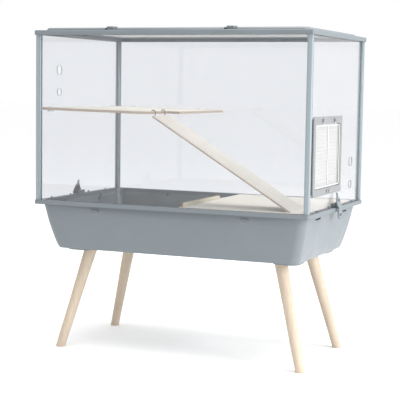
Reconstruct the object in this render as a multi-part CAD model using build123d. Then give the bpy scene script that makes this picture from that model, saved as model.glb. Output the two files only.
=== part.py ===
from build123d import *
from math import cos, sin, radians, atan, degrees, hypot
import os

# Hamster cage on four wooden legs: a moulded tray, a clear-walled upper cage that
# lifts off it, a hinged wire lid, a wire side door, a wooden shelf, ramp and deck.
# Origin: centre of the footprint on the floor. +X right, +Y back, +Z up. Millimetres.

# ---- driving dimensions -------------------------------------------------------
WIDTH, DEPTH = 800.0, 505.0          # rim and roof outline
RIM_TOP, RIM_BOTTOM = 424.0, 413.5   # tray rim lip
TRAY_BOTTOM = 289.0
TRAY_INSET, TRAY_CORNER = 14.5, 24.0 # tray wall, set in from the rim's outline; its corner radius
WALL_DRAFT, WALL_TURN = 24.0, 9.0    # how far the wall leans in, and turns in at the floor
ROOF_BOTTOM, ROOF_TOP = 878.5, 891.0
LID_TOP = 898.0
SKIN = 3.0                           # moulded wall thickness
PLY = 7.0                            # plywood thickness

FOOT_X, FOOT_Y = 359.0, 171.0        # centre of a foot on the floor
LEG_TOP_X, LEG_TOP_Y = 283.0, 127.5  # centre of a leg at the tray's underside
LEG_FOOT_R, LEG_TOP_R = 12.5, 18.0
PLATE_THICK, PLATE_LONG, PLATE_WIDE = 9.0, 78.0, 84.0
PLATE_X, PLATE_Y = 307.0, 131.0      # centre of a leg's mounting plate

POST_INSET, POST = 3.6, 14.0         # corner post: set in from the rim, side of its section
PANEL = 2.5                          # clear sheet thickness
GROOVE = 4.0                         # depth of the panel grooves

SHELF_LEFT, SHELF_RIGHT = -384.0, -34.0
SHELF_FRONT, SHELF_BACK = -232.0, 233.0
SHELF_MID_Z, SHELF_FALL = 677.0, 1.0   # mid-thickness height at the wall; degrees of fall
SHELF_CORNER = 90.0
NOTCH_X = -69.5                      # shelf edge that the ramp hangs on

RAMP_NEAR, RAMP_FAR = -203.0, -92.0
RAMP_FOOT_X, RAMP_TOP_X = 326.0, -64.0
RAMP_THICK = 4.5
RAMP_HOOKS = (-180.0, -116.0)
HOOK_X, HOOK_Z, HOOK_BEND = -70.5, 673.0, 5.5   # pivot line of the ramp; bend of its hooks

DECK_LEFT, DECK_RIGHT = 28.0, 377.0
DECK_FRONT, DECK_BACK = -230.0, 230.0

DOOR_Y, DOOR_Z = (-210.5, 42.0), (465.0, 671.0)        # outer size of the door surround
OPEN_Y, OPEN_Z = (-195.5, 25.5), (483.5, 651.0)        # clear opening
DOOR_PIVOT_X, DOOR_PIVOT_Z = 397.0, 661.0
DOOR_HINGES = (-138.0, -33.0)
BUTTON_Y, BUTTON_Z = -78.0, 474.2
MESH_PITCH = 9.5

CLIP_PIVOT_X, CLIP_PIVOT_Z = 403.6, 418.7
LID_PIVOT_Y, LID_PIVOT_Z = 235.5, 895.5
LID_HINGES = (-250.0, 250.0)
LID_TABS = (-172.5, 172.5)

BOTTLE_HOLES_LEFT = ((-130.0, 785.0, 13.5), (-130.0, 722.5, 11.2))   # y, z, radius
BOTTLE_HOLES_RIGHT = ((152.0, 540.0, 13.5), (152.0, 476.0, 11.2))

# ---- derived places -----------------------------------------------------------
PANEL_X = WIDTH / 2 - POST_INSET - POST / 2      # mid-plane of the side panels
PANEL_Y = DEPTH / 2 - POST_INSET - POST / 2      # mid-plane of the front and back panels
PANEL_OUT = PANEL_X + PANEL / 2                  # outer face of the right panel
PANEL_IN = PANEL_X - PANEL / 2
POST_IN_X = WIDTH / 2 - POST_INSET - POST        # inner faces of the posts
POST_IN_Y = DEPTH / 2 - POST_INSET - POST
RAMP_SLOPE = 0.605                               # rise over run of the ramp's underside
RAMP_ANGLE = degrees(atan(RAMP_SLOPE))


# ---- helpers ------------------------------------------------------------------
def block(x0, x1, y0, y1, z0, z1):
    return Pos((x0 + x1) / 2, (y0 + y1) / 2, (z0 + z1) / 2) * Box(x1 - x0, y1 - y0, z1 - z0)


def slab(width, depth, radius, z0, z1):
    return extrude(Pos(0, 0, z0) * RectangleRounded(width, depth, radius), z1 - z0)


def rod(start, end, radius):
    start, end = Vector(*start), Vector(*end)
    axis = Plane(origin=start, z_dir=end - start)
    return extrude(axis * Circle(radius), (end - start).length)


def wire(points, bend, radius):
    """A round wire along straight runs joined by arcs of one bend radius."""
    path = FilletPolyline(*points, radius=bend)
    start = Plane(origin=path @ 0, z_dir=path % 0)
    return sweep(start * Circle(radius), path=path)


def side_plate(outline, x0, x1):
    """A flat board standing in the YZ plane, from x0 to x1; outline is (y, z) points."""
    face = make_face(Plane.YZ * Polyline(*outline, close=True))
    return Pos(x0, 0, 0) * extrude(face, x1 - x0, dir=(1, 0, 0))


def mirror_x(shape):
    return mirror(shape, about=Plane.YZ)


def write(node, *solids):
    shape = solids[0] if len(solids) == 1 else Compound(children=list(solids))
    export_step(shape, f"parts/{node}.step")


# ---- tray ---------------------------------------------------------------------
def tray_form(extra, floor):
    """The tray's body: walls with a little draft that turn in along a quarter ellipse."""
    last = 84.0
    height = RIM_BOTTOM - floor
    sections = []
    for step in range(6):
        angle = radians(last * step / 5)
        z = RIM_BOTTOM - height * sin(angle) / sin(radians(last))
        inset = TRAY_INSET + extra + WALL_DRAFT * sin(angle) + WALL_TURN * (1 - cos(angle))
        sections.append(Pos(0, 0, z) * RectangleRounded(
            WIDTH - 2 * inset, DEPTH - 2 * inset, TRAY_CORNER - extra))
    return loft(sections)


def tray_shell():
    outer, inner = 2 * TRAY_INSET, 2 * (TRAY_INSET + SKIN)
    body = tray_form(0, TRAY_BOTTOM) + slab(
        WIDTH - outer, DEPTH - outer, TRAY_CORNER, RIM_BOTTOM, RIM_TOP)
    body += slab(WIDTH, DEPTH, 9, RIM_BOTTOM, RIM_TOP)
    under = slab(WIDTH - 6, DEPTH - 6, 7, RIM_BOTTOM - 1, RIM_TOP - SKIN)
    under -= slab(WIDTH - outer, DEPTH - outer, TRAY_CORNER, RIM_BOTTOM - 1, RIM_TOP - SKIN)
    body -= under
    body -= tray_form(SKIN, TRAY_BOTTOM + SKIN)
    body -= slab(WIDTH - inner, DEPTH - inner, TRAY_CORNER - SKIN, RIM_BOTTOM - 0.01, RIM_TOP + 1)
    # finger pockets in the short sides, just below the rim
    wall = WIDTH / 2 - TRAY_INSET
    for y in (-122, 122):
        boss = block(wall - 10, wall - 3.5, y - 24, y + 24, 398.5, 406)
        pocket = block(wall - 8, wall + 5, y - 22, y + 22, 400, 404.5)
        body += boss
        body -= pocket
        body += mirror_x(boss)
        body -= mirror_x(pocket)
    # oval pads under the front and back rims
    for x in (-218, 218):
        for y in (-1, 1):
            out = y * (DEPTH / 2 - TRAY_INSET - 4.5)
            pad = Plane(origin=(x, out, 401), x_dir=(1, 0, 0), z_dir=(0, y, 0))
            body += extrude(pad * SlotOverall(22, 8), 4.5)
    # ears for the clip pivots
    ears = [block(398, 407.4, y - 2, y + 2, 414.5, 423) for y in (-14.5, 14.5)]
    for ear in ears:
        body += ear
        body += mirror_x(ear)
    for side in (-1, 1):
        x = side * CLIP_PIVOT_X
        body -= rod((x, -20, CLIP_PIVOT_Z), (x, 20, CLIP_PIVOT_Z), 1.5)
    for x, y in plate_screw_places():
        body -= rod((x, y, TRAY_BOTTOM - 1), (x, y, TRAY_BOTTOM + 5), 2.0)
    for plug in rim_plugs():
        body -= plug
    return body


def rim_plugs():
    """Round press-in plugs in the tray's walls, just below the rim; heads inside."""
    z = 410.5
    shank = 1.6
    end, side = WIDTH / 2 - TRAY_INSET - SKIN - 0.2, DEPTH / 2 - TRAY_INSET - SKIN - 0.2
    plugs = []
    for sign in (-1, 1):
        for y in (-111.5, 111.5):
            head = rod((sign * (end - 1.6), y, z), (sign * end, y, z), 4.0)
            plugs.append(head + rod((sign * end, y, z), (sign * (end + shank), y, z), 2.4))
        for x in (-213, 213):
            head = rod((x, sign * (side - 1.6), z), (x, sign * side, z), 4.0)
            plugs.append(head + rod((x, sign * side, z), (x, sign * (side + shank), z), 2.4))
    return plugs


def leg_corners():
    return (("front_left", -1, -1), ("front_right", 1, -1),
            ("back_left", -1, 1), ("back_right", 1, 1))


def leg_axis(sx, sy):
    foot = Vector(sx * FOOT_X, sy * FOOT_Y, 0)
    top = Vector(sx * LEG_TOP_X, sy * LEG_TOP_Y, TRAY_BOTTOM)
    return foot, (top - foot).normalized()


def leg(sx, sy):
    """A tapered round leg, sawn level at the floor and at its mounting plate."""
    foot, direction = leg_axis(sx, sy)
    spare = 20.0
    length = TRAY_BOTTOM / direction.Z + 2 * spare
    growth = (LEG_TOP_R - LEG_FOOT_R) / (length - 2 * spare)
    axis = Plane(origin=foot - direction * spare, z_dir=direction)
    far_end = Plane(origin=foot + direction * (length - spare), z_dir=direction)
    cone = loft([axis * Circle(LEG_FOOT_R - growth * spare),
                 far_end * Circle(LEG_TOP_R + growth * spare)])
    top = TRAY_BOTTOM - PLATE_THICK
    cone &= block(-450, 450, -300, 300, 0, top)
    return cone - hanger_bolt(sx, sy)


def hanger_bolt(sx, sy):
    foot, direction = leg_axis(sx, sy)
    top = foot + direction * (TRAY_BOTTOM / direction.Z)
    bolt = rod(tuple(top - direction * 38), tuple(top + direction * 6), 4.0)
    return bolt & block(-450, 450, -300, 300, 200, TRAY_BOTTOM)


def leg_plate(sx, sy):
    under = TRAY_BOTTOM - PLATE_THICK
    plate = Pos(sx * PLATE_X, sy * PLATE_Y, 0) * slab(PLATE_LONG, PLATE_WIDE, 26, under, TRAY_BOTTOM)
    low = plate.edges().filter_by(lambda e: abs(e.center().Z - under) < 0.01)
    plate = fillet(low, 5.0) - hanger_bolt(sx, sy)
    for hx, hy in plate_screw_places():
        plate -= rod((hx, hy, under - 1), (hx, hy, TRAY_BOTTOM + 1), 2.0)
    return plate


def plate_screw_places():
    reach_x, reach_y = PLATE_LONG / 2 - 12, PLATE_WIDE / 2 - 15
    return [(sx * PLATE_X + dx, sy * PLATE_Y + dy) for _, sx, sy in leg_corners()
            for dx in (-reach_x, reach_x) for dy in (-reach_y, reach_y)]


def plate_screw(x, y):
    floor = TRAY_BOTTOM + SKIN
    head = rod((x, y, floor), (x, y, floor + 2.4), 4.2)
    return head + rod((x, y, TRAY_BOTTOM - PLATE_THICK + 0.5), (x, y, floor), 2.0)


def panel_pegs():
    """Locating pegs on the rim that the side panels stand against."""
    x = PANEL_OUT + 0.4 + 2.0
    return [rod((side * x, y, RIM_TOP), (side * x, y, RIM_TOP + 4.5), 2.0)
            for side in (-1, 1) for y in (-165, -55, 55, 165)]


# ---- side clips ---------------------------------------------------------------
def clip():
    """Right-hand clip: finger flare, barrel on its pin, arm leaning in, nose and tip."""
    line = [(409.0, 394), (406.6, 403), (406.2, 424), (402.0, 436), (396.0, 464)]
    thick = 1.6
    outline = [(x + thick, z) for x, z in line] + [(x - thick, z) for x, z in reversed(line)]
    face = make_face(Plane.XZ * Polyline(*outline, close=True))
    arm = Pos(0, 24, 0) * extrude(face, 48, dir=(0, -1, 0))
    half = [(14, 393), (17, 401), (17, 438), (10, 449), (3.6, 454), (2.4, 464)]
    front = make_face(Plane.YZ * Polyline(*half, *[(-y, z) for y, z in reversed(half)], close=True))
    arm &= Pos(390, 0, 0) * extrude(front, 25, dir=(1, 0, 0))
    for y in (-14.5, 14.5):      # room for the tray's ears
        arm -= block(390, 415, y - 2.5, y + 2.5, 412.5, 425)
    for y in (-7, 0, 7):         # openings of the lattice, above and below the barrel
        arm -= block(390, 415, y - 2.2, y + 2.2, 440, 446)
        arm -= block(390, 415, y - 2.2, y + 2.2, 401, 408)
    barrel = rod((CLIP_PIVOT_X, -11.8, CLIP_PIVOT_Z), (CLIP_PIVOT_X, 11.8, CLIP_PIVOT_Z), 3.1)
    arm += barrel + block(395.1, 401.5, -14, 14, 434.6, 438)
    return arm - rod((CLIP_PIVOT_X, -30, CLIP_PIVOT_Z), (CLIP_PIVOT_X, 30, CLIP_PIVOT_Z), 1.55)


def clip_pin():
    return rod((CLIP_PIVOT_X, -16.5, CLIP_PIVOT_Z), (CLIP_PIVOT_X, 16.5, CLIP_PIVOT_Z), 1.5)


def clip_catch():
    """Moulded shoe on the bottom edge of a side panel, which the clip's nose holds."""
    shoe = block(PANEL_IN - 2, PANEL_OUT + 2, -20, 20, RIM_TOP + 0.2, 434)
    shoe += block(PANEL_OUT, 394.7, -15, 15, 429, 434)
    return shoe - block(PANEL_IN, PANEL_OUT, -30, 30, RIM_TOP + 1.7, 436)


# ---- deck inside the tray -----------------------------------------------------
def deck_board():
    middle = ((DECK_LEFT + DECK_RIGHT) / 2, (DECK_FRONT + DECK_BACK) / 2)
    board = Pos(*middle, 0) * slab(
        DECK_RIGHT - DECK_LEFT, DECK_BACK - DECK_FRONT, 28, RIM_TOP - PLY, RIM_TOP)
    board += block(DECK_LEFT, DECK_LEFT + 40, DECK_FRONT, DECK_BACK, RIM_TOP - PLY, RIM_TOP)
    return board - block(DECK_LEFT - 1, DECK_LEFT + PLY + 0.2, -213.2, 55.2, 400, 440)


def deck_wall_left():
    """Side board of the hide-out; its top stands above the deck as a low lip."""
    outline = [(-213, 434.5), (-213, 352), (-181, 293), (181, 293), (205, 352),
               (205, RIM_TOP - PLY), (55, RIM_TOP - PLY), (55, 428), (46, 434.5)]
    board = side_plate(outline, DECK_LEFT, DECK_LEFT + PLY)
    door = block(DECK_LEFT - 5, DECK_LEFT + 15, -38, 38, 280, 345)
    door += rod((DECK_LEFT - 5, 0, 345), (DECK_LEFT + 15, 0, 345), 38)
    return board - door


def deck_wall_right():
    outline = [(-205, RIM_TOP - PLY), (-205, 352), (-176, 293), (176, 293), (205, 352),
               (205, RIM_TOP - PLY)]
    return side_plate(outline, 318, 318 + PLY)


def deck_rail():
    return block(DECK_LEFT + PLY, 318, 172, 172 + PLY, 352, RIM_TOP - PLY)


# ---- upper cage ---------------------------------------------------------------
def post():
    """Front-right corner post: rounded outer corner, a groove for each panel, a spigot."""
    x, y = WIDTH / 2 - POST_INSET - POST / 2, -(DEPTH / 2 - POST_INSET - POST / 2)
    body = Pos(x, y, 0) * slab(POST, POST, 2.2, RIM_TOP, ROOF_BOTTOM)
    flute = POST / 2 - 0.9
    body -= block(x - flute, x - 2.6, y - POST / 2 - 1, y - POST / 2 + 0.9, RIM_TOP - 1, 900)
    body -= block(x + POST / 2 - 0.9, x + POST / 2 + 1, y + 2.6, y + flute, RIM_TOP - 1, 900)
    body -= block(x - POST / 2 - 1, x - POST / 2 + GROOVE, y - 1.3, y + 1.3, RIM_TOP - 1, 900)
    body -= block(x - 1.3, x + 1.3, y + POST / 2 - GROOVE, y + POST / 2 + 1, RIM_TOP - 1, 900)
    return body + block(x - 1.5, x + 4.5, y - 4.5, y + 1.5, ROOF_BOTTOM, ROOF_BOTTOM + 7)


def mirrored(shape, sx, sy):
    """Copy a front-right shape to the corner given by the signs of x and y."""
    if sx < 0:
        shape = mirror(shape, about=Plane.YZ)
    if sy > 0:
        shape = mirror(shape, about=Plane.XZ)
    return shape


def long_panel(y):
    reach = POST_IN_X + GROOVE - 0.5
    return block(-reach, reach, y - PANEL / 2, y + PANEL / 2, RIM_TOP + 0.3, ROOF_BOTTOM + 3.5)


def side_panel(x, holes):
    reach = POST_IN_Y + GROOVE - 0.5
    panel = block(x - PANEL / 2, x + PANEL / 2, -reach, reach, RIM_TOP + 1.7, ROOF_BOTTOM + 3.5)
    for y, z, radius in holes:
        panel -= rod((x - 5, y, z), (x + 5, y, z), radius)
    return panel


def framed_hole(x0, x1, margin, radius):
    """A rounded prism through the right wall, the door opening grown by a margin."""
    width = OPEN_Y[1] - OPEN_Y[0] + 2 * margin
    height = OPEN_Z[1] - OPEN_Z[0] + 2 * margin
    centre = (x0, sum(OPEN_Y) / 2, sum(OPEN_Z) / 2)
    face = Plane(origin=centre, x_dir=(0, 1, 0), z_dir=(1, 0, 0))
    return extrude(face * RectangleRounded(width, height, radius), x1 - x0)


def roof_frame():
    body = slab(WIDTH, DEPTH, 5, ROOF_BOTTOM, ROOF_TOP)
    body = chamfer(body.edges().filter_by(lambda e: abs(e.center().Z - ROOF_TOP) < 0.01), 1.6)
    body -= slab(WIDTH - 2 * 36, DEPTH - 2 * 36, 10, ROOF_BOTTOM - 1, ROOF_TOP + 1)
    body -= slab(WIDTH - 2 * 22.4, DEPTH - 2 * 22.4, 12, ROOF_TOP - 4, ROOF_TOP + 1)
    # hollow underside between the panel line and the inner lip
    body -= (slab(WIDTH - 2 * 18.5, DEPTH - 2 * 18.5, 8, ROOF_BOTTOM - 1, ROOF_TOP - 7)
             - slab(WIDTH - 2 * 33, DEPTH - 2 * 33, 8, ROOF_BOTTOM - 1, ROOF_TOP - 7))
    for side in (-1, 1):
        y, x = side * PANEL_Y, side * PANEL_X
        body -= block(-387, 387, y - 1.3, y + 1.3, ROOF_BOTTOM - 1, ROOF_BOTTOM + 4)
        body -= block(x - 1.3, x + 1.3, -239.5, 239.5, ROOF_BOTTOM - 1, ROOF_BOTTOM + 4)
    spigot = block(PANEL_X - 1.5, PANEL_X + 4.5, -PANEL_Y - 4.5, -PANEL_Y + 1.5,
                   ROOF_BOTTOM - 1, ROOF_BOTTOM + 7)
    for _, sx, sy in leg_corners():
        body -= mirrored(spigot, sx, sy)
    # stiffening ribs on the inner faces of the long rails
    for k in range(-2, 3):
        x = 34.5 + 137.5 * k
        for side in (-1, 1):
            inner = side * (DEPTH / 2 - 36)
            body += block(x - 1.5, x + 1.5, min(inner, inner - side * 1.4),
                          max(inner, inner - side * 1.4), ROOF_BOTTOM + 1, ROOF_TOP - 5)
    for x in LID_HINGES:
        for dx in (-13.0, 13.0):
            body += hinge_ear(x + dx)
        body -= rod((x - 30, LID_PIVOT_Y, LID_PIVOT_Z), (x + 30, LID_PIVOT_Y, LID_PIVOT_Z), 1.5)
    return body


def hinge_ear(x):
    y, z = LID_PIVOT_Y, LID_PIVOT_Z
    ear = rod((x - 2.5, y, z), (x + 2.5, y, z), 3.6)
    return ear + block(x - 2.5, x + 2.5, y - 3.6, y + 3.6, ROOF_TOP - 1, z)


def lid_pin(x):
    return rod((x - 15.5, LID_PIVOT_Y, LID_PIVOT_Z), (x + 15.5, LID_PIVOT_Y, LID_PIVOT_Z), 1.5)


# ---- wire lid -----------------------------------------------------------------
LID_X, LID_Y = WIDTH / 2 - 23.0, DEPTH / 2 - 23.0    # half size of the lid frame
LID_BAR = 26.0


def lid_frame():
    body = slab(2 * LID_X, 2 * LID_Y, 11, ROOF_TOP - 3.6, LID_TOP)
    body = chamfer(body.edges().filter_by(lambda e: abs(e.center().Z - LID_TOP) < 0.01), 4.5)
    body -= slab(2 * (LID_X - LID_BAR), 2 * (LID_Y - LID_BAR), 6, 880, 905)
    for x in LID_TABS:
        # a relief notch beside each finger tab
        body -= block(x - 22, x - 12.5, -LID_Y - 1, -LID_Y + 11, ROOF_TOP + 1, 905)
        tab = Pos(x, -LID_Y, 0) * slab(25, 24, 6, ROOF_TOP + 0.4, LID_TOP + 3)
        body += chamfer(tab.edges().filter_by(lambda e: e.center().Z > LID_TOP + 2.9), 1.5)
    for x in LID_HINGES:
        knuckle = rod((x - 9, LID_PIVOT_Y, LID_PIVOT_Z), (x + 9, LID_PIVOT_Y, LID_PIVOT_Z), 3.4)
        body += knuckle + block(x - 9, x + 9, LID_Y - 5, LID_PIVOT_Y, LID_PIVOT_Z - 2.5, LID_PIVOT_Z + 2)
        body -= rod((x - 12, LID_PIVOT_Y, LID_PIVOT_Z), (x + 12, LID_PIVOT_Y, LID_PIVOT_Z), 1.55)
    return body


def lid_wires():
    """Long wires in one layer with the cross wires lying on them."""
    half_x, half_y = LID_X - LID_BAR, LID_Y - LID_BAR
    radius, low = 1.0, ROOF_TOP + 0.6
    rows = int(2 * half_y / MESH_PITCH) - 1
    long_wires = []
    for i in range(rows):
        y = (i - (rows - 1) / 2) * MESH_PITCH
        long_wires.append(rod((-half_x, y, low), (half_x, y, low), radius))
    high = low + 2 * radius
    cross = [rod((x, -half_y, high), (x, half_y, high), radius)
             for x in (k * 70.0 for k in range(-4, 5))]
    return long_wires, cross


# ---- side door ----------------------------------------------------------------
def door_surround():
    """Outer frame of the doorway with a collar through the panel and hinge ears."""
    width, height = DOOR_Y[1] - DOOR_Y[0], DOOR_Z[1] - DOOR_Z[0]
    centre = (PANEL_OUT, sum(DOOR_Y) / 2, sum(DOOR_Z) / 2)
    face = Plane(origin=centre, x_dir=(0, 1, 0), z_dir=(1, 0, 0))
    body = extrude(face * RectangleRounded(width, height, 4), 4.0)
    outer = body.edges().filter_by(lambda e: e.center().X > PANEL_OUT + 3.99)
    body = chamfer(outer, 1.0)
    body += framed_hole(PANEL_IN - 3, PANEL_OUT + 1, 3.5, 5)
    body -= framed_hole(PANEL_IN - 5, PANEL_OUT + 10, 0, 3)
    for y in DOOR_HINGES:
        z = DOOR_PIVOT_Z
        for dy in (-3.4, 3.4):
            body += block(PANEL_OUT + 3, 399.4, y + dy - 1.2, y + dy + 1.2, z - 3.2, z + 3.2)
        body -= block(PANEL_OUT + 2.4, 402, y - 2.1, y + 2.1, z - 6, z + 5)
        body -= rod((DOOR_PIVOT_X, y - 8, z), (DOOR_PIVOT_X, y + 8, z), 1.2)
    return body - rod((PANEL_OUT + 1, BUTTON_Y, BUTTON_Z), (402, BUTTON_Y, BUTTON_Z), 1.2)


def door_backing():
    """Inner ring that closes on the collar and clamps the panel."""
    ring = framed_hole(PANEL_IN - 2.4, PANEL_IN, 14, 8)
    return ring - framed_hole(PANEL_IN - 5, PANEL_OUT, 3.5, 5)


def door_pin(y):
    return rod((DOOR_PIVOT_X, y - 5.6, DOOR_PIVOT_Z), (DOOR_PIVOT_X, y + 5.6, DOOR_PIVOT_Z), 1.2)


LEAF_Y = (OPEN_Y[0] + 4.2, OPEN_Y[1] - 4.2)
LEAF_Z = (OPEN_Z[0] + 4.2, OPEN_Z[1] - 4.2)
LEAF_X = 392.7


def leaf_frame():
    """Bent rim wire of the door, its middle stay and the two hinge eyes."""
    radius, corner = 1.4, 3.0
    y0, y1 = LEAF_Y
    z0, z1 = LEAF_Z
    middle = (y0 + y1) / 2
    half = []
    for y in (y0, y1):
        corners = [(LEAF_X, middle, z0), (LEAF_X, y, z0), (LEAF_X, y, z1), (LEAF_X, middle, z1)]
        half.append(wire(corners, corner, radius))
    body = half[0] + half[1]
    body += rod((LEAF_X, middle, z0), (LEAF_X, middle, z1), radius - 0.15)
    for y in DOOR_HINGES:
        eye = Plane(origin=(DOOR_PIVOT_X, y, DOOR_PIVOT_Z), z_dir=(0, 1, 0)) * Torus(2.15, 0.85)
        bottom = DOOR_PIVOT_Z - 2.15
        arm = wire([(LEAF_X, y, z1), (DOOR_PIVOT_X, y, z1 + 5.5), (DOOR_PIVOT_X, y, bottom)],
                   2.0, 0.85)
        body += eye + arm
    return body


def leaf_wires():
    """The door's mesh: uprights behind the rim wire, cross wires behind the uprights."""
    radius = 0.9
    y0, y1 = LEAF_Y
    z0, z1 = LEAF_Z
    x = LEAF_X - 1.4 - radius
    columns = int((y1 - y0) / MESH_PITCH)
    uprights = []
    for i in range(columns):
        y = (y0 + y1) / 2 + (i - (columns - 1) / 2) * MESH_PITCH
        uprights.append(rod((x, y, z0), (x, y, z1), radius))
    rows = int((z1 - z0) / MESH_PITCH)
    x -= 2 * radius
    cross = []
    for i in range(rows):
        z = (z0 + z1) / 2 + (i - (rows - 1) / 2) * MESH_PITCH
        cross.append(rod((x, y0, z), (x, y1, z), radius))
    return uprights, cross


def door_button():
    """Oval turn button with a round grip; lies along the bar when open."""
    face = Plane(origin=(PANEL_OUT + 4.3, BUTTON_Y, BUTTON_Z), x_dir=(0, 1, 0), z_dir=(1, 0, 0))
    body = extrude(face * SlotOverall(36, 8), 2.0)
    body += rod((PANEL_OUT + 6, BUTTON_Y, BUTTON_Z), (400.0, BUTTON_Y, BUTTON_Z), 4.6)
    return body - rod((390, BUTTON_Y, BUTTON_Z), (402, BUTTON_Y, BUTTON_Z), 1.25)


def button_screw():
    shank = rod((PANEL_OUT + 1, BUTTON_Y, BUTTON_Z), (400.3, BUTTON_Y, BUTTON_Z), 1.2)
    return shank + rod((400.3, BUTTON_Y, BUTTON_Z), (401.5, BUTTON_Y, BUTTON_Z), 2.6)


# ---- shelf and ramp -----------------------------------------------------------
def on_shelf(shape):
    """Places a shape drawn flat at z = 0 on the shelf's mid-plane, with its fall."""
    return Pos(SHELF_LEFT, 0, SHELF_MID_Z) * Rot(0, SHELF_FALL, 0) * Pos(-SHELF_LEFT, 0, 0) * shape


def shelf_board():
    left, right, front, back, r = SHELF_LEFT, SHELF_RIGHT, SHELF_FRONT, SHELF_BACK, SHELF_CORNER
    edge = Polyline((right, front + r), (right, back), (left, back), (left, front), (right - r, front))
    corner = CenterArc((right - r, front + r), r, 270, 90)
    board = Pos(0, 0, -PLY / 2) * extrude(make_face([edge, corner]), PLY)
    board -= block(NOTCH_X, 0, front, RAMP_FAR + 4, -10, 10)
    for y in RAMP_HOOKS:
        slot = Pos(HOOK_X - HOOK_BEND + 1.0, y, 0) * Box(7.5, 3.6, 20)
        board -= slot
    return on_shelf(board)


def shelf_clip_places():
    """Foot of each shelf clip: x, y and the direction it faces."""
    return (("left", -190.0), ("left", 185.0), ("back", -335.0), ("back", -115.0))


def shelf_clip(wall, place):
    """A moulded fork on the panel that the shelf's edge slides into."""
    mid = SHELF_MID_Z
    fork = block(-PANEL_IN, -PANEL_IN + 13, -7, 7, mid - 9, mid + 6)
    if wall == "left":
        fork = Pos(0, place, 0) * fork
        return fork - on_shelf(block(-384.6, -360, place - 20, place + 20, -PLY / 2 - 0.1, PLY / 2 + 0.1))
    drop = (place - SHELF_LEFT) * sin(radians(SHELF_FALL))
    inner = PANEL_Y - PANEL / 2
    fork = block(place - 7, place + 7, inner - 13, inner, mid - drop - 9, mid - drop + 6)
    return fork - on_shelf(block(place - 20, place + 20, 200, inner - 3, -PLY / 2 - 0.1, PLY / 2 + 0.1))


def shelf_clip_stud(wall, place):
    """Push stud that holds a shelf clip from outside the panel."""
    if wall == "left":
        z = SHELF_MID_Z - 6.2
        return (rod((-PANEL_OUT, place, z), (-PANEL_IN + 2.2, place, z), 1.6)
                + rod((-PANEL_OUT - 1.6, place, z), (-PANEL_OUT, place, z), 4.0))
    z = SHELF_MID_Z - (place - SHELF_LEFT) * sin(radians(SHELF_FALL)) - 6.2
    inner, outer = PANEL_Y - PANEL / 2, PANEL_Y + PANEL / 2
    return (rod((place, inner - 2.2, z), (place, outer, z), 1.6)
            + rod((place, outer, z), (place, outer + 1.6, z), 4.0))


def ramp_line(x, lift):
    """Point of the ramp's long section: lift is the distance above its underside."""
    tilt = radians(RAMP_ANGLE)
    z = RIM_TOP + RAMP_SLOPE * (RAMP_FOOT_X - x)
    return (x + lift * sin(tilt), z + lift * cos(tilt))


def ramp_board():
    corners = [ramp_line(RAMP_FOOT_X, 0), ramp_line(RAMP_TOP_X, 0), ramp_line(RAMP_TOP_X, RAMP_THICK)]
    foot_top = RAMP_FOOT_X + RAMP_THICK / sin(radians(RAMP_ANGLE))
    corners.append((foot_top, RIM_TOP))
    face = make_face(Plane.XZ * Polyline(*corners, close=True))
    board = Pos(0, RAMP_FAR, 0) * extrude(face, RAMP_FAR - RAMP_NEAR, dir=(0, -1, 0))
    for y in RAMP_HOOKS:
        board -= hook_shank(y)
    return board


def hook_shank(y):
    x, z = ramp_line(RAMP_TOP_X - 4, RAMP_THICK / 2)
    run = Vector(cos(radians(RAMP_ANGLE)), 0, -sin(radians(RAMP_ANGLE)))
    start = Vector(x, y, z)
    return rod(tuple(start), tuple(start + run * 24), 1.2)


def ramp_hook(y):
    """Wire hook: over the shelf's edge into its slot, and down into the ramp's end."""
    right = HOOK_X + HOOK_BEND
    tilt = radians(RAMP_ANGLE)
    foot_z = RIM_TOP + RAMP_SLOPE * (RAMP_FOOT_X - right) + RAMP_THICK / 2 / cos(tilt)
    end = (right + 20 * cos(tilt), y, foot_z - 20 * sin(tilt))
    lower = wire([(right, y, HOOK_Z), (right, y, foot_z), end], 3.0, 1.2)
    bend = Plane(origin=(HOOK_X, y, HOOK_Z), z_dir=(0, 1, 0)) * Torus(HOOK_BEND, 1.2)
    bend &= block(HOOK_X - 10, HOOK_X + 10, y - 3, y + 3, HOOK_Z, HOOK_Z + 10)
    tip = rod((HOOK_X - HOOK_BEND, y, HOOK_Z - 3.6), (HOOK_X - HOOK_BEND, y, HOOK_Z), 1.2)
    return lower + bend + tip


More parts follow.
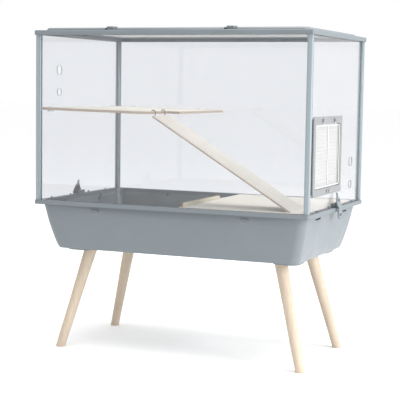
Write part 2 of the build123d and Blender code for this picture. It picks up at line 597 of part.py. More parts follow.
# ---- write the parts ----------------------------------------------------------
def make_all():
    os.makedirs("parts", exist_ok=True)
    write("tray_shell", tray_shell())
    for name, sx, sy in leg_corners():
        write(f"leg_{name}", leg(sx, sy))
        write(f"post_{name}", mirrored(post(), sx, sy))
    corners = leg_corners()
    write("leg_plates", *[leg_plate(sx, sy) for _, sx, sy in corners])
    write("hanger_bolts", *[hanger_bolt(sx, sy) for _, sx, sy in corners])
    write("plate_screws", *[plate_screw(x, y) for x, y in plate_screw_places()])
    write("panel_pegs", *panel_pegs())
    write("rim_plugs", *rim_plugs())
    write("clip_right", clip())
    write("clip_left", mirror_x(clip()))
    write("clip_pins", clip_pin(), mirror_x(clip_pin()))
    write("clip_catches", clip_catch(), mirror_x(clip_catch()))
    write("deck_board", deck_board())
    write("deck_wall_left", deck_wall_left())
    write("deck_wall_right", deck_wall_right())
    write("deck_rail", deck_rail())
    write("panel_front", long_panel(-PANEL_Y))
    studs = [shelf_clip_stud(*place) for place in shelf_clip_places()]
    back, left = long_panel(PANEL_Y), side_panel(-PANEL_X, BOTTLE_HOLES_LEFT)
    for stud in studs:
        back, left = back - stud, left - stud
    write("panel_back", back)
    write("panel_left", left)
    write("panel_right", side_panel(PANEL_X, BOTTLE_HOLES_RIGHT)
          - framed_hole(PANEL_IN - 5, PANEL_OUT + 5, 3.5, 5))
    write("roof_frame", roof_frame())
    write("lid_hinge_pins", *[lid_pin(x) for x in LID_HINGES])
    write("lid_frame", lid_frame())
    long_wires, cross_wires = lid_wires()
    write("lid_long_wires", *long_wires)
    write("lid_cross_wires", *cross_wires)
    write("door_surround", door_surround())
    write("door_backing", door_backing())
    write("door_hinge_pins", *[door_pin(y) for y in DOOR_HINGES])
    write("door_leaf_frame", leaf_frame())
    uprights, cross = leaf_wires()
    write("door_uprights", *uprights)
    write("door_cross_wires", *cross)
    write("door_button", door_button())
    write("door_button_screw", button_screw())
    write("shelf_board", shelf_board())
    clips = [shelf_clip(*place) - stud for place, stud in zip(shelf_clip_places(), studs)]
    write("shelf_clips", *clips)
    write("shelf_clip_studs", *studs)
    write("ramp_board", ramp_board())
    write("ramp_hooks", *[ramp_hook(y) for y in RAMP_HOOKS])


make_all()
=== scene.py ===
from math import cos, pi, radians, sin

import bmesh
import bpy
from mathutils import Matrix, Vector


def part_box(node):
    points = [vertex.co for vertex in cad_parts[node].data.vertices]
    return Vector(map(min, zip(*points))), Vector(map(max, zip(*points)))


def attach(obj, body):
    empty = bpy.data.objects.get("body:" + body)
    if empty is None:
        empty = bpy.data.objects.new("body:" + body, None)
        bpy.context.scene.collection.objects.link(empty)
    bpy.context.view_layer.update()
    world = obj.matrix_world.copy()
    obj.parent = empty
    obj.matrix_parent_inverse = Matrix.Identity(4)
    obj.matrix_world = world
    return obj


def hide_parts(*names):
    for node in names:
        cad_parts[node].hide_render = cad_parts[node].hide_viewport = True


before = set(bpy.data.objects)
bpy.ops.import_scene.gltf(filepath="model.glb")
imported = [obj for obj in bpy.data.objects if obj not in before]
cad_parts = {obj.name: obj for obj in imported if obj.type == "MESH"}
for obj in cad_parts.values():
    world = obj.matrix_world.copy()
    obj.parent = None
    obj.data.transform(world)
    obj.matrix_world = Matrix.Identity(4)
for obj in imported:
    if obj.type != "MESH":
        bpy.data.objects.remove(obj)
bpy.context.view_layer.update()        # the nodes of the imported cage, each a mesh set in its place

# ---- Studio -------------------------------------------------------------------------
# The cage stands on a white paper floor in a bright, even studio. A long lens looks at
# it from the front right, a little under roof height, and a large soft box on the right
# lights the door end; a weaker one overhead lights the rims and the boards.
CAMERA_PLACE = (1.3007, -3.1152, 0.7412)
CAMERA_YAW, CAMERA_DOWN, CAMERA_ROLL = 0.397, 0.0939, 0.0153     # radians
CAMERA_LENS, CAMERA_SENSOR = 107.44, 36.0                        # millimetres
ROOM_BRIGHTNESS = 1.0
WHITE = (1.0, 1.0, 1.0, 1.0)

camera_data = bpy.data.cameras.new("studio_camera")
camera_data.lens, camera_data.sensor_width = CAMERA_LENS, CAMERA_SENSOR
camera = bpy.data.objects.new("studio_camera", camera_data)
bpy.context.scene.collection.objects.link(camera)
camera.matrix_world = (
    Matrix.Translation(CAMERA_PLACE) @ Matrix.Rotation(CAMERA_YAW, 4, "Z")
    @ Matrix.Rotation(pi / 2 - CAMERA_DOWN, 4, "X") @ Matrix.Rotation(CAMERA_ROLL, 4, "Z"))
bpy.context.scene.camera = camera
bpy.context.scene.view_settings.view_transform = "Standard"


def soft_box(name, place, aim, width, height, watts):
    """A rectangular studio light at place, facing the point aim."""
    lamp = bpy.data.lights.new(name, "AREA")
    lamp.shape, lamp.size, lamp.size_y, lamp.energy = "RECTANGLE", width, height, watts
    light = bpy.data.objects.new(name, lamp)
    bpy.context.scene.collection.objects.link(light)
    facing = (Vector(aim) - Vector(place)).to_track_quat("-Z", "Y")
    light.matrix_world = Matrix.Translation(place) @ facing.to_matrix().to_4x4()


soft_box("door_end_soft_box", place=(3.6, -0.7, 1.5), aim=(0.3, 0.0, 0.55),
         width=2.2, height=2.4, watts=142)
soft_box("overhead_soft_box", place=(0.4, -0.3, 3.2), aim=(0.0, 0.0, 0.5),
         width=2.6, height=2.0, watts=100)

world = bpy.data.worlds.new("white_room")
world.use_nodes = True
room = world.node_tree.nodes["Background"]
room.inputs["Color"].default_value = WHITE
room.inputs["Strength"].default_value = ROOM_BRIGHTNESS
bpy.context.scene.world = world


def new_finish(name, colour, rough):
    """A material with its principled shader set to a plain colour and roughness."""
    made = bpy.data.materials.new(name)
    made.use_nodes = True
    shader = made.node_tree.nodes["Principled BSDF"]
    shader.inputs["Base Color"].default_value = (*colour, 1.0)
    shader.inputs["Roughness"].default_value = rough
    return made, made.node_tree, shader


def set_or_link(tree, socket, value):
    if isinstance(value, bpy.types.NodeSocket):
        tree.links.new(value, socket)
    else:
        socket.default_value = value


def on_piece(tree, stretch=(1, 1, 1), turn=(0, 0, 0)):
    """The piece's own coordinates in metres, turned and then stretched."""
    coords = tree.nodes.new("ShaderNodeTexCoord")
    mapping = tree.nodes.new("ShaderNodeMapping")
    mapping.inputs["Rotation"].default_value = turn
    mapping.inputs["Scale"].default_value = stretch
    tree.links.new(coords.outputs["Object"], mapping.inputs["Vector"])
    return mapping.outputs["Vector"]


def noise(tree, where, scale, detail=2.0, rough=0.5, warp=0.0):
    node = tree.nodes.new("ShaderNodeTexNoise")
    node.inputs["Scale"].default_value = scale
    node.inputs["Detail"].default_value = detail
    node.inputs["Roughness"].default_value = rough
    node.inputs["Distortion"].default_value = warp
    tree.links.new(where, node.inputs["Vector"])
    return node.outputs["Fac"]


def blend_colours(tree, share, first, second):
    """first where share is 0, second where it is 1; each a colour or a socket."""
    node = tree.nodes.new("ShaderNodeMix")
    node.data_type = "RGBA"
    set_or_link(tree, node.inputs[0], share)
    first_socket, second_socket, mixed = node.inputs[6], node.inputs[7], node.outputs[2]   # the colour ones
    for socket, colour in ((first_socket, first), (second_socket, second)):
        if not isinstance(colour, bpy.types.NodeSocket):
            colour = (*colour, 1.0)
        set_or_link(tree, socket, colour)
    return mixed


def shade(colour, factor):
    return tuple(min(1.0, part * factor) for part in colour)


def emboss(tree, shader, *layers):
    """Bump layers, each (height, depth in metres), laid one on another."""
    below = None
    for height, depth in layers:
        node = tree.nodes.new("ShaderNodeBump")
        node.inputs["Distance"].default_value = depth
        tree.links.new(height, node.inputs["Height"])
        if below is not None:
            tree.links.new(below, node.inputs["Normal"])
        below = node.outputs["Normal"]
    tree.links.new(below, shader.inputs["Normal"])


FLOOR_HALF = 40.0
PAPER = (0.985, 0.985, 0.985)
TOOTH_DEPTH = 0.0001               # relief of the paper's surface

floor_paper, tree, shader = new_finish("floor_paper", PAPER, rough=0.9)
cloud = noise(tree, on_piece(tree), scale=1.5)
tree.links.new(blend_colours(tree, cloud, PAPER, shade(PAPER, 1.01)), shader.inputs["Base Color"])
emboss(tree, shader, (noise(tree, on_piece(tree), scale=400), TOOTH_DEPTH))
floor_mesh = bpy.data.meshes.new("paper_floor")
floor_corners = [(x * FLOOR_HALF, y * FLOOR_HALF, 0) for x, y in ((-1, -1), (1, -1), (1, 1), (-1, 1))]
floor_mesh.from_pydata(floor_corners, [], [(0, 1, 2, 3)])
floor_mesh.materials.append(floor_paper)
paper_floor = bpy.data.objects.new("paper_floor", floor_mesh)
bpy.context.scene.collection.objects.link(paper_floor)

# ---- Legs ---------------------------------------------------------------------------
# Four turned beech legs, tapered and sawn level at both ends. They are sanded and left
# with a clear matt finish, so the pale pinkish wood and its short dark flecks show.
# Each screws onto a bolt that slants down and out of its plate under the tray.
FOOT_RADIUS, LEG_TOP_RADIUS = 0.0125, 0.018
BEECH = (0.475, 0.395, 0.31)
BEECH_DARK = (0.37, 0.29, 0.22)
BEECH_FLECK = (0.28, 0.18, 0.115)
STREAK_SHARE, BROAD_SHARE, FLECK_SHARE = 0.55, 0.35, 0.5     # how strongly each mark shows
STREAK_DEPTH, FLECK_DEPTH = 0.00006, -0.00008
NOISE_SPAN = (0.3, 0.7)            # nearly all of a noise's values lie in this span


def maths(tree, operation, *values):
    node = tree.nodes.new("ShaderNodeMath")
    node.operation = operation
    for socket, value in zip(node.inputs, values):
        set_or_link(tree, socket, value)
    return node.outputs[0]


def spread(tree, value, low, high, out_low=0.0, out_high=1.0):
    """value's span low..high mapped to out_low..out_high, and held there beyond it."""
    node = tree.nodes.new("ShaderNodeMapRange")
    for socket, number in zip(node.inputs, (value, low, high, out_low, out_high)):
        set_or_link(tree, socket, number)
    return node.outputs[0]


def paint(node, finish):
    """Gives a part of the frame its finish, whatever slots it came with."""
    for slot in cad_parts[node].material_slots:
        slot.material = finish


WELD_GAP = 2e-6


def ease_edges(node, width, segments=2, angle=35):
    """Breaks the sharp edges of a part of the frame, as moulding or sanding does."""
    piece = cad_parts[node]
    weld = piece.modifiers.new("join_faces", "WELD")
    weld.merge_threshold = WELD_GAP
    bevel = piece.modifiers.new("eased_edges", "BEVEL")
    bevel.width, bevel.segments = width, segments
    bevel.limit_method, bevel.angle_limit = "ANGLE", radians(angle)
    bevel.harden_normals = True


def beech(name, direction):
    """Beech with its grain along direction."""
    made, tree, shader = new_finish(name, BEECH, rough=0.55)
    turn = Vector(direction).rotation_difference(Vector((0, 0, 1))).to_euler()

    def drawn_noise(draw, **pattern):
        """A noise drawn out along the grain."""
        return noise(tree, on_piece(tree, (1, 1, draw), turn), **pattern)

    streak = spread(tree, drawn_noise(0.06, scale=120, detail=3, rough=0.6, warp=0.3), *NOISE_SPAN)
    broad = spread(tree, drawn_noise(0.25, scale=30), *NOISE_SPAN)
    flecks = spread(tree, drawn_noise(0.12, scale=900, detail=1), 0.66, 0.74)
    colour = blend_colours(tree, maths(tree, "MULTIPLY", streak, STREAK_SHARE), BEECH, BEECH_DARK)
    colour = blend_colours(tree, maths(tree, "MULTIPLY", broad, BROAD_SHARE), colour, shade(BEECH, 1.15))
    colour = blend_colours(tree, maths(tree, "MULTIPLY", flecks, FLECK_SHARE), colour, BEECH_FLECK)
    tree.links.new(colour, shader.inputs["Base Color"])
    tree.links.new(spread(tree, streak, 0, 1, 0.48, 0.62), shader.inputs["Roughness"])
    emboss(tree, shader, (streak, STREAK_DEPTH), (flecks, FLECK_DEPTH))
    return made


for side_x, side_y, corner in ((-1, -1, "front_left"), (1, -1, "front_right"),
                               (-1, 1, "back_left"), (1, 1, "back_right")):
    low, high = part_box(f"leg_{corner}")
    span = high - low
    out_x = span.x - FOOT_RADIUS - LEG_TOP_RADIUS
    out_y = span.y - FOOT_RADIUS - LEG_TOP_RADIUS
    paint(f"leg_{corner}", beech(f"beech_{corner}", (-side_x * out_x, -side_y * out_y, span.z)))
    ease_edges(f"leg_{corner}", width=0.0012)

# ---- Leg plates, bolts and screws ---------------------------------------------------
# A moulded plate under each corner of the tray takes the leg's bolt at its slant, and
# four pan-head screws go down through the tray's floor into it. The steel is plated
# with bright zinc, which is lightly cloudy. The plastic is one grey throughout: the
# darker corners that its finish has here are added shade, not pigment.
PLATE_SIZE = (0.078, 0.084)
SCREW_REACH = (0.027, 0.027)        # from the plate's centre, along X and Y
SCREW_HEAD_RADIUS, SCREW_HEAD_HEIGHT = 0.0042, 0.0024
RECESS_LONG, RECESS_WIDE, RECESS_DEEP = 1.15, 0.26, 0.65     # shares of the radius, and of the height
RECESS_CLEAR = 0.0002               # the recess cutter stands proud of the head by this
SCREW_TURN = 0.7                    # each recess is turned on from the last by this, radians
ZINC = (0.62, 0.63, 0.64)
TRAY_GREY = (0.135, 0.158, 0.172)
SHADE_REACH, CORNER_SHADE = 0.035, 0.75     # added shade in corners: its reach, its depth
SHADE_TONE, SHADE_RAYS = 0.25, 8            # the plastic's tone at full shade
FLOW_TONES = (0.965, 1.035)
SPARK_TONE, SPARK_SHARE = 1.35, 0.10        # painted glints: specks of the spark texture drawn lighter, as if they catch light
RUB_TONE, RUB_SHARE, RUB_ROUGH = 1.5, 0.10, 0.08
GRAIN_DEPTH, SINK_DEPTH = 0.00005, 0.0012


def clouded(name, colour, tones, gloss, depth, base_rough, stretch=(1, 1, 1), **pattern):
    """A finish that one fine noise shifts between two tones and two roughnesses."""
    made, tree, shader = new_finish(name, colour, base_rough)
    cloud = noise(tree, on_piece(tree, stretch), **pattern)
    dark, light = (shade(colour, tone) for tone in tones)
    tree.links.new(blend_colours(tree, cloud, dark, light), shader.inputs["Base Color"])
    tree.links.new(spread(tree, cloud, *NOISE_SPAN, *gloss), shader.inputs["Roughness"])
    emboss(tree, shader, (cloud, depth))
    return made, shader


zinc, shader = clouded("zinc_plate", ZINC, tones=(0.85, 1.12), gloss=(0.26, 0.44), depth=0.00002,
                       base_rough=0.34, scale=700, detail=3)
shader.inputs["Metallic"].default_value = 1.0


def moulded(name, colour, rough, corner_shade=CORNER_SHADE):
    """Moulded plastic: fine spark texture with painted glints, faint flow and sink, shaded corners,
    handling rubs.
    """
    made, tree, shader = new_finish(name, colour, rough)
    here = on_piece(tree)
    grain = noise(tree, here, scale=1500)
    flow = noise(tree, here, scale=9, warp=0.8)
    rub_marks = noise(tree, on_piece(tree, (1, 0.06, 1), (0.4, 0.3, 0.9)), scale=260)
    rubs = spread(tree, rub_marks, 0.70, 0.78)
    dark, light = (shade(colour, tone) for tone in FLOW_TONES)
    body = blend_colours(tree, spread(tree, flow, *NOISE_SPAN), dark, light)
    # painted glints: the finest grain's specks are drawn lighter
    painted_glints = maths(tree, "MULTIPLY", spread(tree, grain, 0.35, 0.65), SPARK_SHARE)
    body = blend_colours(tree, painted_glints, body, shade(colour, SPARK_TONE))
    body = blend_colours(tree, maths(tree, "MULTIPLY", rubs, RUB_SHARE), body, shade(colour, RUB_TONE))
    open_sky = tree.nodes.new("ShaderNodeAmbientOcclusion")
    open_sky.samples = SHADE_RAYS
    open_sky.inputs["Distance"].default_value = SHADE_REACH
    hidden = maths(tree, "SUBTRACT", 1.0, open_sky.outputs["AO"])
    crevice = maths(tree, "MULTIPLY", hidden, corner_shade)
    body = blend_colours(tree, crevice, body, shade(colour, SHADE_TONE))
    tree.links.new(body, shader.inputs["Base Color"])
    gloss = maths(tree, "ADD", spread(tree, flow, *NOISE_SPAN, rough - 0.05, rough + 0.05),
                  maths(tree, "MULTIPLY", rubs, RUB_ROUGH))
    tree.links.new(gloss, shader.inputs["Roughness"])
    emboss(tree, shader, (flow, SINK_DEPTH), (grain, GRAIN_DEPTH))
    return made


tray_plastic = moulded("tray_grey", TRAY_GREY, rough=0.42)
paint("leg_plates", tray_plastic)
paint("hanger_bolts", zinc)
ease_edges("leg_plates", width=0.0006)


def turned(mesh, profile, steps=32):
    """Turns a list of (radius, height) points about Z into mesh."""
    rings = [[mesh.verts.new((r * cos(2 * pi * i / steps), r * sin(2 * pi * i / steps), z))
              for i in range(steps)] for r, z in profile]
    for below, above in zip(rings, rings[1:]):
        for i in range(steps):
            j = (i + 1) % steps
            mesh.faces.new((below[i], below[j], above[j], above[i]))
    mesh.faces.new(list(reversed(rings[0])))
    mesh.faces.new(rings[-1])


def bar(mesh, size, centre=(0, 0, 0)):
    """A rectangular bar added to mesh."""
    made = bmesh.ops.create_cube(mesh, size=1.0)
    bmesh.ops.scale(mesh, vec=size, verts=made["verts"])
    bmesh.ops.translate(mesh, vec=centre, verts=made["verts"])


def as_object(name, mesh, finish, smooth_angle=35):
    """Turns a bmesh into an object of the scene, smooth except across sharp edges."""
    bmesh.ops.recalc_face_normals(mesh, faces=mesh.faces)
    for face in mesh.faces:
        face.smooth = True
    for edge in mesh.edges:
        edge.smooth = len(edge.link_faces) != 2 or edge.calc_face_angle(0) < radians(smooth_angle)
    data = bpy.data.meshes.new(name)
    mesh.to_mesh(data)
    mesh.free()
    data.materials.append(finish)
    made = bpy.data.objects.new(name, data)
    bpy.context.scene.collection.objects.link(made)
    return made


def applied(piece):
    """The piece's mesh with its modifiers carried out; the piece itself is removed."""
    graph = bpy.context.evaluated_depsgraph_get()
    mesh = bmesh.new()
    mesh.from_mesh(bpy.data.meshes.new_from_object(piece.evaluated_get(graph)))
    bpy.data.objects.remove(piece)
    return mesh


def cross_head(radius, height):
    """A domed screw head with a cross recess, standing on z = 0, as a plain mesh."""
    dome = bmesh.new()
    steps = 8
    profile = [(radius * 0.96, 0.0), (radius, height * 0.15)]
    profile += [(radius * cos(a), height * (0.25 + 0.75 * sin(a)))
                for a in (pi / 2 * k / steps for k in range(1, steps))]
    turned(dome, profile)
    head = as_object("screw_head", dome, zinc)
    cross = bmesh.new()
    deep = height * RECESS_DEEP
    for turn in (0, pi / 2):
        start = len(cross.verts)
        bar(cross, (radius * RECESS_LONG, radius * RECESS_WIDE, deep),
            (0, 0, height - deep / 2 + RECESS_CLEAR))
        cross.verts.ensure_lookup_table()
        bmesh.ops.rotate(cross, verts=cross.verts[start:], matrix=Matrix.Rotation(turn, 3, "Z"))
    recess = as_object("screw_recess", cross, zinc)
    cut = head.modifiers.new("recess", "BOOLEAN")
    cut.object, cut.operation, cut.solver, cut.use_self = recess, "DIFFERENCE", "EXACT", True
    bpy.context.view_layer.update()
    mesh = applied(head)
    bpy.data.objects.remove(recess)
    data = bpy.data.meshes.new("screw_head")
    mesh.to_mesh(data)
    mesh.free()
    return data


def set_screws(name, head, places, finish):
    """Copies of one screw head, each at a matrix, joined into one object."""
    mesh = bmesh.new()
    for place in places:
        start = len(mesh.verts)
        mesh.from_mesh(head)
        mesh.verts.ensure_lookup_table()
        bmesh.ops.transform(mesh, matrix=place, verts=mesh.verts[start:])
    return as_object(name, mesh, finish)


plate_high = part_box("leg_plates")[1]
screw_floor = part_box("plate_screws")[1].z - SCREW_HEAD_HEIGHT
middle_x = plate_high.x - PLATE_SIZE[0] / 2
middle_y = plate_high.y - PLATE_SIZE[1] / 2
places = []
for side_x in (-1, 1):
    for side_y in (-1, 1):
        for dx in (-SCREW_REACH[0], SCREW_REACH[0]):
            for dy in (-SCREW_REACH[1], SCREW_REACH[1]):
                spot = Vector((side_x * middle_x + dx, side_y * middle_y + dy, screw_floor))
                turn = Matrix.Rotation(SCREW_TURN * len(places), 4, "Z")
                places.append(Matrix.Translation(spot) @ turn)
plate_screw_heads = set_screws("plate_screw_heads", cross_head(SCREW_HEAD_RADIUS, SCREW_HEAD_HEIGHT),
                               places, zinc)
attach(plate_screw_heads, "tray")
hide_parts("plate_screws")

# ---- Tray ---------------------------------------------------------------------------
# One deep moulding in grey-blue plastic, satin outside. Its walls lean in to a flat
# floor, a lip runs round the top for the cage to stand on, and blind finger pockets are
# sunk in the ends. Locating pegs stand on the lip, and dark plugs press into the walls.
PLUG_DARK = (0.03, 0.032, 0.035)

paint("tray_shell", tray_plastic)
paint("panel_pegs", tray_plastic)
ease_edges("tray_shell", width=0.0012, angle=50)
paint("rim_plugs", moulded("plug_dark", PLUG_DARK, rough=0.5))
ease_edges("rim_plugs", width=0.0004)

# ---- Side clips ---------------------------------------------------------------------
# One springy moulded clip at each end turns on a steel pin between two ears of the
# tray, and its nose hooks over a shoe on the bottom edge of the end panel.
clip_plastic = moulded("clip_grey", shade(TRAY_GREY, 1.1), rough=0.38)
for node in ("clip_left", "clip_right", "clip_catches"):
    paint(node, clip_plastic)
    ease_edges(node, width=0.0005)
paint("clip_pins", zinc)

# ---- Deck and its walls -------------------------------------------------------------
# Thin birch plywood, cut by laser, so its edges are browned and the plies show as fine
# lines. The boards slot together: the left one has an arched door and stands above the
# deck as a low lip, and a rail stiffens the back.
BIRCH = (0.60, 0.575, 0.52)
BIRCH_DARK = (0.53, 0.48, 0.41)
BURNT = (0.27, 0.165, 0.10)
TOASTED = (0.36, 0.285, 0.225)      # a lightly browned cut edge
PLY_THICK, PLY_LAYERS = 0.007, 5
FIGURE_SHARE, FIBRE_SHARE, LAYER_SHARE, CHAR_SHARE = 0.6, 0.22, 0.45, 0.5
FIBRE_DEPTH, FIGURE_DEPTH = 0.00004, 0.00008


def along_axis(tree, output, direction):
    """How far one of the surface's own vectors, Normal or Object, goes along direction."""
    coords = tree.nodes.new("ShaderNodeTexCoord")
    product = tree.nodes.new("ShaderNodeVectorMath")
    product.operation = "DOT_PRODUCT"
    tree.links.new(coords.outputs[output], product.inputs[0])
    product.inputs[1].default_value = direction
    return product.outputs["Value"]


def birch_board(name, across, grain, warmth=1.0, cut=BURNT, thick=PLY_THICK, tone=1.0):
    """Plywood whose faces look along across, with its grain along grain; cut tints its edges."""
    made, tree, shader = new_finish(name, BIRCH, rough=0.62)
    along = on_piece(tree, [0.05 if part else 1.0 for part in grain])
    figure = spread(tree, noise(tree, along, scale=38, detail=4, rough=0.6, warp=0.6), *NOISE_SPAN)
    fibre = spread(tree, noise(tree, along, scale=420, rough=0.6), *NOISE_SPAN)
    warm = (BIRCH_DARK[0], BIRCH_DARK[1] * (0.98 if warmth > 1 else 1), BIRCH_DARK[2] / warmth)
    warm = shade(warm, tone)
    face = blend_colours(tree, maths(tree, "MULTIPLY", figure, FIGURE_SHARE), shade(BIRCH, tone), warm)
    face = blend_colours(tree, maths(tree, "MULTIPLY", fibre, FIBRE_SHARE), face, shade(BIRCH_DARK, 0.8))

    edge = spread(tree, maths(tree, "ABSOLUTE", along_axis(tree, "Normal", across)), 0.75, 0.6)
    depth = along_axis(tree, "Object", Vector(across) * (PLY_LAYERS / 2 / thick))
    layer = spread(tree, maths(tree, "PINGPONG", depth, 0.5), 0.2, 0.3)
    char = spread(tree, noise(tree, on_piece(tree), scale=130, detail=3), 0.25, 0.75)
    side = blend_colours(tree, maths(tree, "MULTIPLY", layer, LAYER_SHARE), cut, shade(cut, 1.5))
    side = blend_colours(tree, maths(tree, "MULTIPLY", char, CHAR_SHARE), side, shade(cut, 0.75))

    tree.links.new(blend_colours(tree, edge, face, side), shader.inputs["Base Color"])
    tree.links.new(spread(tree, fibre, 0, 1, 0.55, 0.70), shader.inputs["Roughness"])
    emboss(tree, shader, (fibre, FIBRE_DEPTH), (figure, FIGURE_DEPTH))
    return made


paint("deck_board", birch_board("birch_deck", across=(0, 0, 1), grain=(1, 0, 0)))
paint("deck_wall_left", birch_board("birch_left_wall", across=(1, 0, 0), grain=(0, 1, 0), warmth=1.5))
paint("deck_wall_right", birch_board("birch_right_wall", across=(1, 0, 0), grain=(0, 1, 0)))
paint("deck_rail", birch_board("birch_rail", across=(0, 1, 0), grain=(1, 0, 0)))
for node in ("deck_board", "deck_wall_left", "deck_wall_right", "deck_rail"):
    ease_edges(node, width=0.0003, segments=1)

# ---- Corner posts -------------------------------------------------------------------
# Extruded plastic posts, a shade lighter than the tray, with a rounded outer corner and
# a shallow flute down each outer face. The panels slide into grooves on the inside.
POST_GREY = (0.222, 0.262, 0.285)
post_plastic = clouded("post_grey", POST_GREY, tones=(0.96, 1.05), gloss=(0.31, 0.42), depth=0.00003,
                       base_rough=0.36, stretch=(1, 1, 0.01), scale=500)[0]
for corner in ("front_left", "front_right", "back_left", "back_right"):
    paint(f"post_{corner}", post_plastic)
    ease_edges(f"post_{corner}", width=0.0004, segments=1)

# ---- Clear panels -------------------------------------------------------------------
# Clear polished sheet, 2.5 mm thick, faintly grey, with the odd hairline rub and a
# trace of wiping haze. The sawn edges are frosted and look denser than the faces.
CLEAR_TINT = (0.945, 0.95, 0.96)
SHEET_EDGE = (0.24, 0.265, 0.29)
GLANCE, GLANCE_POWER = 0.04, 5.0    # share of light a sheet throws back head on, and its rise
HAZE = (0.80, 0.81, 0.83)


def clear_sheet(name, across):
    """Clear sheet whose polished faces look along across."""
    made = bpy.data.materials.new(name)
    made.use_nodes = True
    tree = made.node_tree
    tree.nodes.clear()
    through = tree.nodes.new("ShaderNodeBsdfTransparent")
    through.inputs["Color"].default_value = (*CLEAR_TINT, 1.0)
    mirror = tree.nodes.new("ShaderNodeBsdfGlossy")
    mirror.inputs["Color"].default_value = WHITE
    mirror.inputs["Roughness"].default_value = 0.02
    haze = tree.nodes.new("ShaderNodeBsdfDiffuse")
    haze.inputs["Color"].default_value = (*HAZE, 1.0)
    frost = tree.nodes.new("ShaderNodeBsdfPrincipled")
    frost.inputs["Base Color"].default_value = (*SHEET_EDGE, 1.0)
    frost.inputs["Roughness"].default_value = 0.5

    angle = tree.nodes.new("ShaderNodeLayerWeight")
    angle.inputs["Blend"].default_value = 0.5
    steep = maths(tree, "POWER", angle.outputs["Facing"], GLANCE_POWER)
    thrown = maths(tree, "MULTIPLY_ADD", steep, 1.0 - GLANCE, GLANCE)
    wiping = noise(tree, on_piece(tree, (1, 1, 0.4), (0.3, 0.2, 0.0)),
                   scale=7, detail=3, rough=0.6, warp=1.5)
    wiped = spread(tree, wiping, 0.35, 0.75, 0.004, 0.020)
    scratches = noise(tree, on_piece(tree, (1, 1, 0.02), (0.5, 0.35, 0.2)), scale=320, detail=1)
    hairlines = spread(tree, scratches, 0.76, 0.80, 0.0, 0.03)
    milky = maths(tree, "ADD", wiped, hairlines)
    rim = spread(tree, maths(tree, "ABSOLUTE", along_axis(tree, "Normal", across)), 0.8, 0.6)

    shown = through.outputs[0]
    for share, other in ((thrown, mirror), (milky, haze), (rim, frost)):
        mixer = tree.nodes.new("ShaderNodeMixShader")
        tree.links.new(share, mixer.inputs[0])
        tree.links.new(shown, mixer.inputs[1])
        tree.links.new(other.outputs[0], mixer.inputs[2])
        shown = mixer.outputs[0]
    surface = tree.nodes.new("ShaderNodeOutputMaterial")
    tree.links.new(shown, surface.inputs["Surface"])
    return made


for wall, across in (("front", (0, 1, 0)), ("back", (0, 1, 0)),
                     ("left", (1, 0, 0)), ("right", (1, 0, 0))):
    paint(f"panel_{wall}", clear_sheet(f"clear_sheet_{wall}", across))

# ---- Roof frame and wire lid --------------------------------------------------------
# A moulded frame ties the posts together, and the lid's own frame lies in a rebate on
# it with two finger tabs in front and two steel hinge pins behind. Its wires are welded
# in two layers and coated pale grey. The frames' underside has added shade as well.
UNDERSIDE_SHARE = 0.6               # how dark the added shade on the underside is
UNDERSIDE_TURN = (-0.4, -0.8)       # it comes in as the surface turns down from here to there
BLACK = (0.0, 0.0, 0.0)

roof_plastic = moulded("roof_grey", shade(TRAY_GREY, 1.03), rough=0.40)
tree = roof_plastic.node_tree
shader = tree.nodes["Principled BSDF"]
lit = shader.inputs["Base Color"].links[0].from_socket
below = spread(tree, along_axis(tree, "Normal", (0, 0, 1)), *UNDERSIDE_TURN, 0.0, UNDERSIDE_SHARE)
tree.links.new(blend_colours(tree, below, lit, BLACK), shader.inputs["Base Color"])
paint("roof_frame", roof_plastic)
paint("lid_frame", roof_plastic)
paint("lid_hinge_pins", zinc)
ease_edges("roof_frame", width=0.0006, angle=40)
ease_edges("lid_frame", width=0.0006, angle=40)

COATED_WIRE = (0.50, 0.50, 0.495)
coated_wire = clouded("coated_wire", COATED_WIRE, tones=(0.95, 1.04), gloss=(0.32, 0.46), depth=0.00004,
                      base_rough=0.38, scale=1100)[0]
paint("lid_long_wires", coated_wire)
paint("lid_cross_wires", coated_wire)

# ---- Side door ----------------------------------------------------------------------
# A moulded surround outside and a ring inside clamp the cut edge of the end panel. The
# leaf is a welded grid of coated wire that swings up on two eyes, and an oval button
# turned across its lower wire locks it.
DOOR_GREY = (0.185, 0.19, 0.196)
BUTTON_HEAD_HEIGHT, BUTTON_HEAD_RADIUS = 0.0012, 0.0026
BUTTON_HEAD_TURN = 0.5              # radians

door_plastic = moulded("door_grey", DOOR_GREY, rough=0.42, corner_shade=0.0)
paint("door_surround", door_plastic)
paint("door_backing", door_plastic)
ease_edges("door_surround", width=0.0004)
for node in ("door_leaf_frame", "door_uprights", "door_cross_wires"):
    paint(node, coated_wire)
paint("door_hinge_pins", zinc)
paint("door_button", moulded("button_grey", shade(DOOR_GREY, 1.12), rough=0.35, corner_shade=0.0))
ease_edges("door_button", width=0.0005)

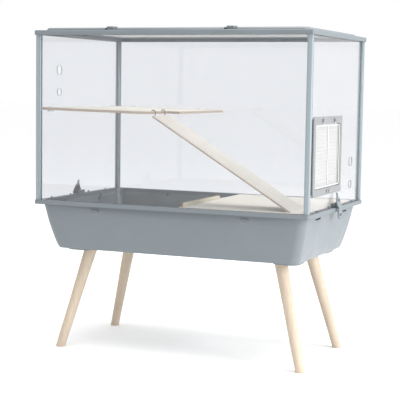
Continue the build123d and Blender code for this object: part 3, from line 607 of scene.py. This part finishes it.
screw_low, screw_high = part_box("door_button_screw")
button_middle = (screw_low + screw_high) / 2
seat = Vector((screw_high.x - BUTTON_HEAD_HEIGHT, button_middle.y, button_middle.z))
outward = Matrix.Rotation(pi / 2, 4, "Y")
button_screw_head = set_screws(
    "button_screw_head", cross_head(BUTTON_HEAD_RADIUS, BUTTON_HEAD_HEIGHT),
    [Matrix.Translation(seat) @ outward @ Matrix.Rotation(BUTTON_HEAD_TURN, 4, "Z")], zinc)
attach(button_screw_head, "upper_cage")
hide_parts("door_button_screw")

# ---- Shelf and ramp -----------------------------------------------------------------
# The shelf is the same birch plywood with one corner cut round, and slides into clear
# moulded forks on studs through the panels. The ramp is a thinner board, which hangs from
# the shelf's edge by two hooks of dark steel wire and stands on the deck.
SHELF_ACROSS = (0.0175, 0, 0.9998)  # the shelf falls by a degree
RAMP_THICK = 0.0045
CLIP_CLEAR, CLIP_ALPHA = (0.90, 0.92, 0.93), 0.28
HOOK_STEEL = (0.09, 0.088, 0.085)

paint("shelf_board", birch_board("birch_shelf", across=SHELF_ACROSS, grain=(1, 0, 0), cut=TOASTED))
ramp_low, ramp_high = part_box("ramp_board")
ramp_run = Vector((ramp_low.x - ramp_high.x, 0, ramp_high.z - ramp_low.z)).normalized()
ramp_across = ramp_run.cross(Vector((0, 1, 0)))
paint("ramp_board", birch_board("birch_ramp", across=ramp_across, grain=(1, 0, 0), cut=TOASTED,
                               thick=RAMP_THICK, tone=0.86))
ease_edges("shelf_board", width=0.0003, segments=1)
ease_edges("ramp_board", width=0.0003, segments=1)
clip_clear, shader = clouded("shelf_clip_clear", CLIP_CLEAR, tones=(0.93, 1.0), gloss=(0.08, 0.2),
                             depth=0.00005, base_rough=0.12, scale=240, detail=3, rough=0.6, warp=1.2)
shader.inputs["Alpha"].default_value = CLIP_ALPHA
for node in ("shelf_clips", "shelf_clip_studs"):
    paint(node, clip_clear)
    ease_edges(node, width=0.0004)
hook_steel, shader = clouded("hook_steel", HOOK_STEEL, tones=(0.8, 1.25), gloss=(0.3, 0.48), depth=0.00002,
                             base_rough=0.38, scale=900)
shader.inputs["Metallic"].default_value = 1.0
paint("ramp_hooks", hook_steel)
